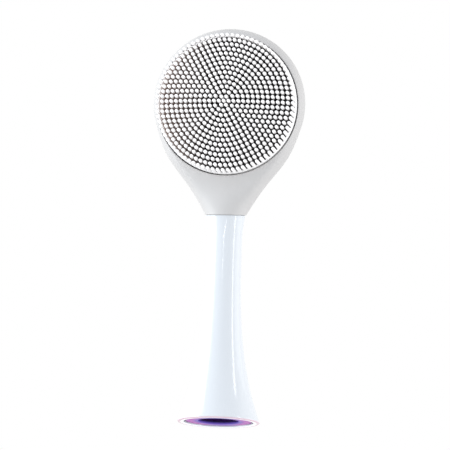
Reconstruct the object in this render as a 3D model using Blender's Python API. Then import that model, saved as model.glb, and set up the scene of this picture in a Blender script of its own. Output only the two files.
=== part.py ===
"""Facial cleansing brush head for a sonic handle, built as separate pieces.

The head stands on its base rim with the neck along +Z. The bristle pad faces -Y.
The origin is the centre of the base, on the surface that the rim stands on.
All lengths are in metres.
"""

import math

import bmesh
import bpy

MM = 0.001

# ---------------------------------------------------------------- driving sizes
BASE_RADIUS = 9.25 * MM          # outer radius of the flared neck where it stands
RIM_WIDTH = 1.45 * MM            # flat rim that the neck stands on
RIM_FILLET = 0.25 * MM
SEAM_Z = 46.65 * MM              # height of the seam between neck and head
SEAM_TILT = math.radians(8.0)    # the seam dips towards the bristle side
NECK_WALL = 1.25 * MM
NECK_FLARE_POWER = 3.0           # how quickly the flare closes in to the waist
NECK_TOP_LENGTH = 5.0 * MM       # waist to seam
NECK_TOP_FLARE = 0.55 * MM       # growth of the radius from waist to seam
NECK_CORE_RADIUS = 1.6 * MM      # hollow through the slim part of the neck
NECK_CORE_END_WALL = 2.6 * MM    # solid neck left below the seam

RING_HOLE_RADIUS = 4.57 * MM
RING_HEIGHT = 1.8 * MM
RING_WEB = 0.7 * MM
RING_WALL = 1.1 * MM
RING_RECESS = 0.3 * MM           # ring face set up from the rim

SHAFT_RADIUS = 2.0 * MM          # bore for the handle's drive shaft
SHAFT_FLAT = 1.5 * MM            # axis to the flat of the D-shaped bore
SHAFT_DEPTH = 12.2 * MM
SOCKET_MOUTH_Z = 5.8 * MM
SOCKET_END_WALL = 0.9 * MM
SOCKET_LEAD_IN = 0.5 * MM
SOCKET_BORE_WALL = 0.35 * MM     # bore to the groove that holds a clip arm

CLIP_THICKNESS = 0.3 * MM
CLIP_WIDTH = 1.8 * MM
CLIP_ARM_LENGTH = 9.7 * MM
CLIP_PAD_HEIGHT = 1.2 * MM
CLIP_PAD_RISE = 0.2 * MM         # pad's lower edge above the arm's tip
CLIP_BITE = 0.25 * MM            # how far a pad reaches into the bore

SPIGOT_RADIUS = 1.9 * MM         # stem that the head plugs onto
SPIGOT_LENGTH = 5.5 * MM
SEAL_RADIUS = 0.35 * MM          # section of the O-ring
SEAL_RISE = 4.2 * MM             # seam to the middle of the O-ring

HEAD_RADIUS = 17.0 * MM
CONE_LENGTH = 7.95 * MM          # seam to the lowest point of the head's circle
CONE_OVERHANG = 0.16 * MM        # head stands proud of the neck at the seam
CONE_ANGLE = math.radians(28.7)  # slope of the cone where it leaves the seam
CONE_HANDLE = 13.2 * MM          # curve handle at the seam
CIRCLE_HANDLE = 11.4 * MM        # curve handle where the cone meets the circle
CIRCLE_START = math.radians(16.0)
HEAD_FRONT_DEPTH = 10.5 * MM     # front half-axis of the head's ellipsoid
HEAD_REAR_DEPTH = 7.0 * MM       # rear half-axis
HEAD_FACE_DEPTH = 4.0 * MM       # the front is flattened at this depth
FACE_FLATTEN_LENGTH = 9.3 * MM   # height over which the round cone turns flat in front
FACE_SOFTNESS = 6.0              # exponent of the rounding round the flat face
COVER_WALL = 1.0 * MM
COVER_FLOOR_RISE = 2.85 * MM     # solid silicone above the seam
OPENING_RIM = 1.1 * MM           # least cover left round the front opening
PAD_DROP = 0.65 * MM             # pad's middle below the middle of the head's circle
CORE_WALL = 1.2 * MM
CORE_POCKET_RISE = 2.2 * MM      # solid core above the end of the stem

PAD_BASE = 1.5 * MM              # silicone under the bristles
PAD_DOME = 2.2 * MM              # how far the middle of the pad stands forward
BRISTLE_LENGTH = 3.9 * MM
BRISTLE_MARGIN = 0.2 * MM        # pad edge to the feet of the outer bristles
CARRIER_WALL = 1.2 * MM
CARRIER_RIB_HEIGHT = 2.4 * MM
CARRIER_RIB_WIDTH = 1.0 * MM
CARRIER_RIBS = 3

GAP = 0.3 * MM                   # left between pieces that touch
SEAL_CLEARANCE = 0.15 * MM       # O-ring to the floor of its groove and to the bore

ROUND = 40                       # segments of the round pieces
SMALL_ROUND = 28                 # segments of the small round pieces

# ---------------------------------------------------------------- derived sizes
RING_RADIUS = BASE_RADIUS - RIM_WIDTH - GAP
RING_TOP_Z = RING_RECESS + RING_HEIGHT
RING_SEAT_Z = RING_TOP_Z + GAP

SOCKET_TOP_Z = SOCKET_MOUTH_Z + SHAFT_DEPTH + SOCKET_END_WALL
CLIP_INNER_X = SHAFT_RADIUS + SOCKET_BORE_WALL + GAP
CLIP_OUTER_X = CLIP_INNER_X + CLIP_THICKNESS
CLIP_HINGE_Z = SOCKET_TOP_Z
SADDLE_Z = SOCKET_TOP_Z + GAP
CHAMBER_TOP_Z = SADDLE_Z + CLIP_THICKNESS + GAP
CHAMBER_RADIUS = math.hypot(CLIP_OUTER_X, CLIP_WIDTH / 2) + GAP

WAIST_Z = SEAM_Z - NECK_TOP_LENGTH
FLARE_AT_CHAMBER = (1.0 - CHAMBER_TOP_Z / WAIST_Z) ** NECK_FLARE_POWER
WAIST_RADIUS = (CHAMBER_RADIUS + NECK_WALL - BASE_RADIUS * FLARE_AT_CHAMBER) / (1.0 - FLARE_AT_CHAMBER)
NECK_TOP_RADIUS = WAIST_RADIUS + NECK_TOP_FLARE
HEAD_BORE_RADIUS = SPIGOT_RADIUS + GAP
SEAL_MIDDLE_RADIUS = HEAD_BORE_RADIUS - SEAL_CLEARANCE - SEAL_RADIUS
HEM_RADIUS = NECK_TOP_RADIUS + CONE_OVERHANG

HEAD_Z = SEAM_Z + CONE_LENGTH + HEAD_RADIUS
PAD_Z = HEAD_Z - PAD_DROP
OPENING_RADIUS = HEAD_RADIUS - OPENING_RIM
PAD_RADIUS = OPENING_RADIUS - GAP
BRISTLE_FIELD_RADIUS = PAD_RADIUS - BRISTLE_MARGIN
CARRIER_RADIUS = PAD_RADIUS - GAP / 2
CARRIER_FRONT = HEAD_FACE_DEPTH - PAD_BASE - GAP
CORE_FRONT = CARRIER_FRONT - CARRIER_WALL - GAP
SPIGOT_TOP_Z = SEAM_Z + SPIGOT_LENGTH
SEAL_Z = SEAM_Z + SEAL_RISE


# ---------------------------------------------------------------- scene helpers
def clear_scene():
    for item in list(bpy.data.objects):
        bpy.data.objects.remove(item, do_unlink=True)


def plastic(name, colour, roughness, metallic=0.0):
    material = bpy.data.materials.new(name)
    material.use_nodes = True
    shader = material.node_tree.nodes["Principled BSDF"]
    shader.inputs["Base Color"].default_value = (*colour, 1.0)
    shader.inputs["Roughness"].default_value = roughness
    shader.inputs["Metallic"].default_value = metallic
    return material


def new_object(name, mesh, material=None, parent=None):
    item = bpy.data.objects.new(name, mesh)
    bpy.context.collection.objects.link(item)
    if material is not None:
        mesh.materials.append(material)
    item.parent = parent
    return item


def new_empty(name, location=(0.0, 0.0, 0.0)):
    item = bpy.data.objects.new(name, None)
    item.location = location
    bpy.context.collection.objects.link(item)
    return item


def finish_mesh(name, shape, sharp_angle=math.radians(35)):
    bmesh.ops.remove_doubles(shape, verts=shape.verts, dist=1e-7)
    bmesh.ops.recalc_face_normals(shape, faces=shape.faces)
    mesh = bpy.data.meshes.new(name)
    shape.to_mesh(mesh)
    shape.free()
    mesh.shade_smooth()
    mesh.set_sharp_from_angle(angle=sharp_angle)
    return mesh


def turned_mesh(name, profile, segments=ROUND):
    """Turn a closed outline of (radius, height) points about Z, leaving out its run along the axis."""
    shape = bmesh.new()
    points = [shape.verts.new((radius, 0.0, height)) for radius, height in profile]
    pairs = zip(points, points[1:] + points[:1])
    edges = [shape.edges.new(pair) for pair in pairs if pair[0].co.x + pair[1].co.x > 0.0]
    bmesh.ops.spin(
        shape,
        geom=points + edges,
        axis=(0.0, 0.0, 1.0),
        cent=(0.0, 0.0, 0.0),
        steps=segments,
        angle=2.0 * math.pi,
        use_merge=True,
    )
    return finish_mesh(name, shape)


def skinned_mesh(name, rings, tip=None):
    """Skin a stack of equal rings; the first is capped, the last closes on a tip or a cap."""
    shape = bmesh.new()
    loops = [[shape.verts.new(point) for point in ring] for ring in rings]
    count = len(rings[0])
    for low, high in zip(loops, loops[1:]):
        for i in range(count):
            j = (i + 1) % count
            shape.faces.new((low[i], low[j], high[j], high[i]))
    shape.faces.new(loops[0])
    if tip is None:
        shape.faces.new(loops[-1])
    else:
        apex = shape.verts.new(tip)
        for i in range(count):
            shape.faces.new((loops[-1][i], loops[-1][(i + 1) % count], apex))
    return finish_mesh(name, shape)


def box_mesh(name, low, high):
    shape = bmesh.new()
    bmesh.ops.create_cube(shape, size=1.0)
    for vert in shape.verts:
        vert.co = [lo + (value + 0.5) * (hi - lo) for lo, hi, value in zip(low, high, vert.co)]
    return finish_mesh(name, shape)


def as_cutter(item):
    item.hide_render = True
    item.display_type = "WIRE"
    return item


def combine(target, tool, operation):
    modifier = target.modifiers.new(operation.lower(), "BOOLEAN")
    modifier.operation = operation
    modifier.object = tool
    modifier.solver = "EXACT"


def cut(target, tool):
    combine(target, as_cutter(tool), "DIFFERENCE")


def join(target, tool):
    combine(target, as_cutter(tool), "UNION")


def smooth_step(value):
    value = min(max(value, 0.0), 1.0)
    return value * value * (3.0 - 2.0 * value)


def steps_between(start, end, count):
    return [start + (end - start) * i / (count - 1) for i in range(count)]


# ---------------------------------------------------------------- neck
def neck_radius(z):
    """Outer radius of the neck at a height below the seam."""
    if z <= WAIST_Z:
        return WAIST_RADIUS + (BASE_RADIUS - WAIST_RADIUS) * (1.0 - z / WAIST_Z) ** NECK_FLARE_POWER
    return WAIST_RADIUS + NECK_TOP_FLARE * ((z - WAIST_Z) / NECK_TOP_LENGTH) ** 1.5


def neck_inner_radius(z):
    return neck_radius(z) - NECK_WALL


def neck_outer_profile():
    shoulder_z = SEAM_Z - GAP / 2
    outer = [(BASE_RADIUS - RIM_FILLET, 0.0)]
    for angle in (30.0, 60.0, 90.0):
        turn = math.radians(angle)
        height = RIM_FILLET * (1.0 - math.cos(turn))
        outer.append((neck_radius(height) - RIM_FILLET * (1.0 - math.sin(turn)), height))
    outer += [(neck_radius(z), z) for z in steps_between(1.4 * MM, WAIST_Z, 15)]
    outer += [(neck_radius(z), z) for z in steps_between(WAIST_Z, shoulder_z, 5)[1:]]
    return outer


def spigot_profile():
    seal_half = SEAL_RADIUS + SEAL_CLEARANCE
    groove_radius = SEAL_MIDDLE_RADIUS - seal_half
    chamfer = GAP
    return [
        (SPIGOT_RADIUS, SEAM_Z - GAP / 2),
        (SPIGOT_RADIUS, SEAL_Z - seal_half),
        (groove_radius, SEAL_Z - seal_half),
        (groove_radius, SEAL_Z + seal_half),
        (SPIGOT_RADIUS, SEAL_Z + seal_half),
        (SPIGOT_RADIUS, SPIGOT_TOP_Z - chamfer),
        (SPIGOT_RADIUS - chamfer, SPIGOT_TOP_Z),
        (0.0, SPIGOT_TOP_Z),
    ]


def neck_inner_profile():
    """Inside of the neck from the top of its core down to the mouth."""
    core_top = SEAM_Z - NECK_CORE_END_WALL
    inner = [(0.0, core_top), (NECK_CORE_RADIUS, core_top - NECK_CORE_RADIUS)]
    inner += [(NECK_CORE_RADIUS, CHAMBER_TOP_Z), (CHAMBER_RADIUS, CHAMBER_TOP_Z)]
    heights = steps_between(CHAMBER_TOP_Z, RING_SEAT_Z, 9)[1:]
    inner += [(neck_inner_radius(z), z) for z in heights]
    mouth = BASE_RADIUS - RIM_WIDTH
    inner += [(mouth, RING_SEAT_Z), (mouth, 0.0)]
    return inner


def tilt_seam(mesh):
    """Shear the top of the neck so that its shoulder lies in the tilted seam plane."""
    for vert in mesh.vertices:
        radius = math.hypot(vert.co.x, vert.co.y)
        if vert.co.z <= WAIST_Z or radius < SPIGOT_RADIUS - 1e-6:
            continue
        if vert.co.z > SEAM_Z:
            continue
        share = (vert.co.z - WAIST_Z) / (SEAM_Z - WAIST_Z)
        vert.co.z += vert.co.y * math.tan(SEAM_TILT) * share * share


def make_neck_shell(material):
    profile = neck_outer_profile() + spigot_profile() + neck_inner_profile()
    mesh = turned_mesh("neck_shell", profile)
    tilt_seam(mesh)
    return new_object("neck_shell", mesh, material)


def make_stem_seal(material):
    """O-ring in the groove of the stem."""
    section = []
    for i in range(8):
        turn = 2.0 * math.pi * i / 8
        radius = SEAL_MIDDLE_RADIUS + SEAL_RADIUS * math.cos(turn)
        section.append((radius, SEAL_Z + SEAL_RADIUS * math.sin(turn)))
    return new_object("stem_seal", turned_mesh("stem_seal", section, SMALL_ROUND), material)


def make_colour_ring(material, joint):
    """Snap-in ring: a thin web round the shaft hole and an upright outer wall."""
    edge = RING_WEB / 3
    profile = [
        (RING_HOLE_RADIUS + edge, RING_RECESS),
        (RING_RADIUS - edge, RING_RECESS),
        (RING_RADIUS, RING_RECESS + edge),
        (RING_RADIUS, RING_TOP_Z),
        (RING_RADIUS - RING_WALL, RING_TOP_Z),
        (RING_RADIUS - RING_WALL, RING_RECESS + RING_WEB),
        (RING_HOLE_RADIUS, RING_RECESS + RING_WEB),
        (RING_HOLE_RADIUS, RING_RECESS + edge),
    ]
    return new_object("colour_ring", turned_mesh("colour_ring", profile), material, joint)


# ---------------------------------------------------------------- drive socket
def make_socket_cutters():
    """Bore with a flat, and the grooves and windows of the clip arms."""
    bore = new_object("cut_bore", turned_mesh("cut_bore", [
        (0.0, SOCKET_MOUTH_Z - GAP),
        (SHAFT_RADIUS + SOCKET_LEAD_IN + GAP, SOCKET_MOUTH_Z - GAP),
        (SHAFT_RADIUS, SOCKET_MOUTH_Z + SOCKET_LEAD_IN),
        (SHAFT_RADIUS, SOCKET_MOUTH_Z + SHAFT_DEPTH),
        (0.0, SOCKET_MOUTH_Z + SHAFT_DEPTH),
    ], SMALL_ROUND))
    flat = new_object("cut_flat", box_mesh(
        "cut_flat",
        (-2 * SHAFT_RADIUS, SHAFT_FLAT, SOCKET_MOUTH_Z + 2 * SOCKET_LEAD_IN),
        (2 * SHAFT_RADIUS, 2 * SHAFT_RADIUS, SOCKET_MOUTH_Z + 2 * SHAFT_DEPTH),
    ))
    cut(bore, flat)
    half = CLIP_WIDTH / 2 + GAP
    tip_z = CLIP_HINGE_Z - CLIP_ARM_LENGTH
    groove_in = SHAFT_RADIUS + SOCKET_BORE_WALL
    cutters = [bore]
    for side, name in ((-1, "left"), (1, "right")):
        far = side * BASE_RADIUS
        for label, near, low, high in (
            ("groove", side * groove_in, tip_z - GAP, SOCKET_TOP_Z + GAP),
            ("window", side * SHAFT_RADIUS / 2, tip_z - GAP, tip_z + CLIP_PAD_RISE + CLIP_PAD_HEIGHT + GAP),
        ):
            mesh = box_mesh(
                f"cut_{label}_{name}",
                (min(near, far), -half, low),
                (max(near, far), half, high),
            )
            cutters.append(new_object(mesh.name, mesh))
    return cutters


def make_shaft_socket(material):
    """Insert that follows the inside of the neck and takes the drive shaft."""
    heights = steps_between(SOCKET_MOUTH_Z, SOCKET_TOP_Z, 7)
    outer = [(neck_inner_radius(z) - GAP, z) for z in heights]
    profile = [(0.0, SOCKET_MOUTH_Z)] + outer + [(0.0, SOCKET_TOP_Z)]
    mesh = turned_mesh("shaft_socket", profile, SMALL_ROUND)
    socket = new_object("shaft_socket", mesh, material)
    for tool in make_socket_cutters():
        cut(socket, tool)
    return socket


def make_clip_saddle(material):
    mesh = box_mesh(
        "clip_saddle",
        (-CLIP_OUTER_X, -CLIP_WIDTH / 2, SADDLE_Z),
        (CLIP_OUTER_X, CLIP_WIDTH / 2, SADDLE_Z + CLIP_THICKNESS),
    )
    return new_object("clip_saddle", mesh, material)


def clip_arm_outline(side):
    """Side view of an arm from its hinge, with the pad that enters the bore."""
    outer = CLIP_THICKNESS / 2
    inner = -CLIP_THICKNESS / 2
    bite = SHAFT_RADIUS - CLIP_BITE - (CLIP_INNER_X + CLIP_THICKNESS / 2)
    pad_low = -CLIP_ARM_LENGTH + CLIP_PAD_RISE
    points = [
        (outer, -GAP / 2),
        (outer, -CLIP_ARM_LENGTH),
        (inner, -CLIP_ARM_LENGTH),
        (inner, pad_low),
        (bite, pad_low + CLIP_PAD_HEIGHT * 0.4),
        (bite, pad_low + CLIP_PAD_HEIGHT * 0.7),
        (inner, pad_low + CLIP_PAD_HEIGHT),
        (inner, -GAP / 2),
    ]
    return [(side * x, z) for x, z in points]


def make_clip_arm(name, side, material):
    """One spring arm, with its origin on the bend where it flexes."""
    shape = bmesh.new()
    corners = [shape.verts.new((x, -CLIP_WIDTH / 2, z)) for x, z in clip_arm_outline(side)]
    face = shape.faces.new(corners)
    extruded = bmesh.ops.extrude_face_region(shape, geom=[face])
    moved = [item for item in extruded["geom"] if isinstance(item, bmesh.types.BMVert)]
    bmesh.ops.translate(shape, verts=moved, vec=(0.0, CLIP_WIDTH, 0.0))
    arm = new_object(name, finish_mesh(name, shape), material)
    arm.location = (side * (CLIP_INNER_X + CLIP_THICKNESS / 2), 0.0, CLIP_HINGE_Z)
    return arm


# ---------------------------------------------------------------- head
def curve_point(start, start_handle, end_handle, end, t):
    """Point on a cubic curve."""
    weights = ((1 - t) ** 3, 3 * t * (1 - t) ** 2, 3 * t * t * (1 - t), t ** 3)
    points = (start, start_handle, end_handle, end)
    return tuple(sum(w * p[i] for w, p in zip(weights, points)) for i in range(2))


def head_outline(inset, from_z, cone_steps, circle_steps):
    """Half-widths and heights of the head seen from the front: a cone that flows into a circle."""
    radius = HEAD_RADIUS - inset
    start = (HEM_RADIUS - inset, SEAM_Z + GAP / 2)
    end = (radius * math.cos(CIRCLE_START), HEAD_Z - radius * math.sin(CIRCLE_START))
    start_handle = (
        start[0] + CONE_HANDLE * math.sin(CONE_ANGLE),
        start[1] + CONE_HANDLE * math.cos(CONE_ANGLE),
    )
    end_handle = (
        end[0] - CIRCLE_HANDLE * math.sin(CIRCLE_START),
        end[1] - CIRCLE_HANDLE * math.cos(CIRCLE_START),
    )
    low, high = 0.0, 1.0
    for _ in range(40):
        middle = (low + high) / 2
        if curve_point(start, start_handle, end_handle, end, middle)[1] < from_z:
            low = middle
        else:
            high = middle
    outline = [
        curve_point(start, start_handle, end_handle, end, t)
        for t in steps_between(low, 1.0, cone_steps)
    ]
    turns = steps_between(-CIRCLE_START, math.radians(90), circle_steps + 1)[1:-1]
    outline += [(radius * math.cos(turn), HEAD_Z + radius * math.sin(turn)) for turn in turns]
    return outline


def soft_min(first, second):
    if min(first, second) <= 1e-9:
        return min(first, second)
    power = -FACE_SOFTNESS
    return (first ** power + second ** power) ** (1.0 / power)


def head_section(half_width, z, inset, segments):
    """One level of the head: round at the seam, domed behind and flattened in front higher up."""
    radius = HEAD_RADIUS - inset
    hem = HEM_RADIUS - inset
    spread = min(max((half_width - hem) / (radius - hem), 0.0), 1.0)
    if z <= HEAD_Z:
        rear = hem + (HEAD_REAR_DEPTH - inset - hem) * spread ** 0.8
        front = hem + (HEAD_FRONT_DEPTH - inset - hem) * spread ** 0.8
    else:
        rear = (HEAD_REAR_DEPTH - inset) * half_width / radius
        front = (HEAD_FRONT_DEPTH - inset) * half_width / radius
    flatten = smooth_step((z - SEAM_Z) / FACE_FLATTEN_LENGTH)
    dip = max(0.0, 1.0 - (z - SEAM_Z) / (CONE_LENGTH / 2)) ** 2 * math.tan(SEAM_TILT)
    ring = []
    for i in range(segments):
        turn = 2.0 * math.pi * i / segments
        x = half_width * math.cos(turn)
        y = rear * math.sin(turn)
        if y < 0.0:
            across = -math.sin(turn)
            face = soft_min(front * across, HEAD_FACE_DEPTH - inset)
            y = -((1.0 - flatten) * hem * across + flatten * face)
        ring.append((x, y, z + y * dip))
    return ring


def head_body_mesh(name, inset, from_z, cone_steps, circle_steps, segments=ROUND):
    outline = head_outline(inset, from_z, cone_steps, circle_steps)
    rings = [head_section(width, z, inset, segments) for width, z in outline]
    return skinned_mesh(name, rings, tip=(0.0, 0.0, HEAD_Z + HEAD_RADIUS - inset))


def place_on_head(item):
    """Stand a piece turned about Z so that its +Z faces out through the bristles."""
    item.location = (0.0, 0.0, PAD_Z)
    item.rotation_euler = (math.radians(90), 0.0, 0.0)


def make_disc_cutter(name, radius, back, front, segments=ROUND):
    profile = [(0.0, back), (radius, back), (radius, front), (0.0, front)]
    item = new_object(name, turned_mesh(name, profile, segments))
    place_on_head(item)
    return item


def make_stem_cutter(name, top):
    profile = [
        (0.0, WAIST_Z),
        (HEAD_BORE_RADIUS, WAIST_Z),
        (HEAD_BORE_RADIUS, top),
        (0.0, top),
    ]
    return new_object(name, turned_mesh(name, profile, SMALL_ROUND))


def make_head_cover(material, joint):
    """Soft cover: cone, sides and back, open in front for the bristle pad."""
    mesh = head_body_mesh("head_cover", 0.0, SEAM_Z, 13, 13)
    cover = new_object("head_cover", mesh, material, joint)
    floor_z = SEAM_Z + COVER_FLOOR_RISE
    cut(cover, new_object("cut_cover", head_body_mesh("cut_cover", COVER_WALL, floor_z, 9, 10)))
    cut(cover, make_disc_cutter("cut_opening", OPENING_RADIUS, 0.0, HEAD_RADIUS))
    cut(cover, make_stem_cutter("cut_cover_bore", floor_z + GAP))
    return cover


def make_head_core(material, joint):
    """Stiff dish inside the cover, with a hub that takes the stem."""
    inset = COVER_WALL + GAP
    floor_z = SEAM_Z + COVER_FLOOR_RISE + GAP
    mesh = head_body_mesh("head_core", inset, floor_z, 8, 10)
    core = new_object("head_core", mesh, material, joint)
    pocket_z = SPIGOT_TOP_Z + CORE_POCKET_RISE
    pocket = head_body_mesh("cut_core", inset + CORE_WALL, pocket_z, 6, 8)
    cut(core, new_object("cut_core", pocket))
    cut(core, make_disc_cutter("cut_core_front", OPENING_RADIUS, CORE_FRONT, HEAD_RADIUS))
    cut(core, make_stem_cutter("cut_core_bore", SPIGOT_TOP_Z + GAP))
    return core


def dome_points(radius, edge_height, rise, count):
    """Dome from its edge to the axis, as (radius, height) points."""
    points = []
    for i in range(count):
        distance = radius * (1.0 - i / (count - 1))
        share = distance / BRISTLE_FIELD_RADIUS
        points.append((distance, edge_height + rise * (1.0 - share * share)))
    return points


def make_carrier_plate(material, joint):
    """Domed plate that backs the pad and closes the core, with crossed ribs behind."""
    back = CARRIER_FRONT - CARRIER_WALL
    profile = dome_points(CARRIER_RADIUS, CARRIER_FRONT, PAD_DOME, 6)
    profile += list(reversed(dome_points(CARRIER_RADIUS, back, PAD_DOME, 6)))
    mesh = turned_mesh("carrier_plate", profile, ROUND)
    plate = new_object("carrier_plate", mesh, material, joint)
    place_on_head(plate)
    reach = CARRIER_RADIUS / 2
    rib_top = back + PAD_DOME + CARRIER_WALL / 4
    for i in range(CARRIER_RIBS):
        rib = new_object(f"rib_{i}", box_mesh(
            f"rib_{i}",
            (-reach, -CARRIER_RIB_WIDTH / 2, rib_top - CARRIER_RIB_HEIGHT),
            (reach, CARRIER_RIB_WIDTH / 2, rib_top),
        ))
        place_on_head(rib)
        rib.rotation_euler.rotate_axis("Z", math.pi * i / CARRIER_RIBS)
        join(plate, rib)
    return plate


def make_bristle_pad(material, joint):
    """Silicone pad and the outer shape of its bristle field."""
    face = HEAD_FACE_DEPTH
    back = face - PAD_BASE
    tips = face + BRISTLE_LENGTH
    edge = GAP
    profile = [(PAD_RADIUS, back), (PAD_RADIUS, face - edge), (PAD_RADIUS - BRISTLE_MARGIN, face)]
    profile += [(BRISTLE_FIELD_RADIUS - edge / 2, tips - edge)]
    profile += dome_points(BRISTLE_FIELD_RADIUS - edge, tips, PAD_DOME, 7)
    profile += list(reversed(dome_points(PAD_RADIUS, back, PAD_DOME, 7)))[:-1]
    mesh = turned_mesh("bristle_pad", profile, ROUND)
    pad = new_object("bristle_pad", mesh, material, joint)
    place_on_head(pad)
    return pad


def attach_to_empty(items, empty):
    """Parent pieces to an empty that marks where a joint is, leaving them in place."""
    bpy.context.view_layer.update()
    for item in items:
        item.parent = empty
        item.matrix_parent_inverse = empty.matrix_world.inverted()


def build():
    clear_scene()
    gloss_white = plastic("gloss_white_abs", (0.86, 0.88, 0.91), 0.12)
    violet = plastic("violet_ring", (0.45, 0.12, 0.62), 0.25)
    natural = plastic("natural_acetal", (0.72, 0.72, 0.70), 0.45)
    steel = plastic("spring_steel", (0.60, 0.60, 0.62), 0.28, 1.0)
    seal = plastic("dark_rubber", (0.05, 0.05, 0.06), 0.6)
    satin = plastic("satin_silicone", (0.66, 0.66, 0.68), 0.5)
    bristle = plastic("white_silicone", (0.85, 0.84, 0.84), 0.55)
    stiff = plastic("core_plastic", (0.70, 0.72, 0.74), 0.4)

    make_neck_shell(gloss_white)
    make_shaft_socket(natural)
    make_clip_saddle(steel)
    make_stem_seal(seal)
    make_clip_arm("clip_arm_left", -1, steel)
    make_clip_arm("clip_arm_right", 1, steel)
    ring = make_colour_ring(violet, None)
    attach_to_empty([ring], new_empty("ring_slide", (0.0, 0.0, RING_RECESS)))
    head = [
        make_head_cover(satin, None),
        make_head_core(stiff, None),
        make_carrier_plate(stiff, None),
        make_bristle_pad(bristle, None),
    ]
    attach_to_empty(head, new_empty("head_slide", (0.0, 0.0, SEAM_Z)))


build()
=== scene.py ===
"""Looks of a plug-on facial cleansing brush head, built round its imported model.

The frame gives the places and outer sizes, in metres: +Z runs up the neck and the bristles face -Y.
Each sub-assembly is a class that makes fine meshes for its visible pieces and dresses them. The
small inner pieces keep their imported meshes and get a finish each.
"""

import logging
import math
from bisect import bisect_left
from dataclasses import dataclass
from enum import Enum
from typing import Any, Callable, Sequence

import bmesh
import bpy
from mathutils import Matrix, Vector


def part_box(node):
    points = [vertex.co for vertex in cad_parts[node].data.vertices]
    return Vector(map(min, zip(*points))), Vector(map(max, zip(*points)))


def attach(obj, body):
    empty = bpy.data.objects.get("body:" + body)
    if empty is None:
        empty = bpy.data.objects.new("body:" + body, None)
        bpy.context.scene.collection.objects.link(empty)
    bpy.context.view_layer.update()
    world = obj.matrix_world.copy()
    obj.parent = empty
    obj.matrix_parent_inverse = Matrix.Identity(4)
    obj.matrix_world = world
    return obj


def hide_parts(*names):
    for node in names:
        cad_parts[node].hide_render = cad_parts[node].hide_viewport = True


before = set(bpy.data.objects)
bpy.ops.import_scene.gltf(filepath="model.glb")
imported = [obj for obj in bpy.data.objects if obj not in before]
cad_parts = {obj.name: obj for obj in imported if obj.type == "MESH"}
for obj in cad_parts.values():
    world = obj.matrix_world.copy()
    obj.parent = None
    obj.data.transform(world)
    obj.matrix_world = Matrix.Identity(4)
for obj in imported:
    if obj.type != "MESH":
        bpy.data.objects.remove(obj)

MM = 0.001
LOG = logging.getLogger("brush_head")

Colour = tuple[float, float, float]
Point = tuple[float, float, float]
Band = tuple[float, float]
Outline = list[tuple[float, float]]
Loop = list[Point]

BLACK = (0.0, 0.0, 0.0)
SILICONE_IOR = 1.43
WELD_DISTANCE = 0.0002 * MM


# ------------------------------------------------------------------ shapes
def smooth_step(value: float) -> float:
    """Return the smooth step of a value between 0 and 1."""
    value = min(max(value, 0.0), 1.0)
    return value * value * (3.0 - 2.0 * value)


def spaced(start: float, end: float, count: int) -> list[float]:
    """Return count even steps from start to end, both included."""
    return [start + (end - start) * i / (count - 1) for i in range(count)]


def arc(centre: tuple[float, float], radius: float, start: float, end: float, count: int) -> Outline:
    """Return points on an arc in the (radius, height) plane.

    Args:
        centre: Middle of the arc.
        radius: Radius of the arc.
        start: First angle in degrees, from the outward direction.
        end: Last angle in degrees.
        count: Number of points, both ends included.

    Returns:
        The points in order.
    """
    turns = [math.radians(angle) for angle in spaced(start, end, count)]
    return [(centre[0] + radius * math.cos(t), centre[1] + radius * math.sin(t)) for t in turns]


def darker(colour: Colour, share: float) -> Colour:
    """Return a colour with each channel multiplied by share."""
    return tuple(channel * share for channel in colour)


def direction(azimuth: float, elevation: float) -> Vector:
    """Return the direction from the object to a place seen at those angles, in degrees."""
    a, e = math.radians(azimuth), math.radians(elevation)
    return Vector((math.sin(a) * math.cos(e), -math.cos(a) * math.cos(e), math.sin(e)))


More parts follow.
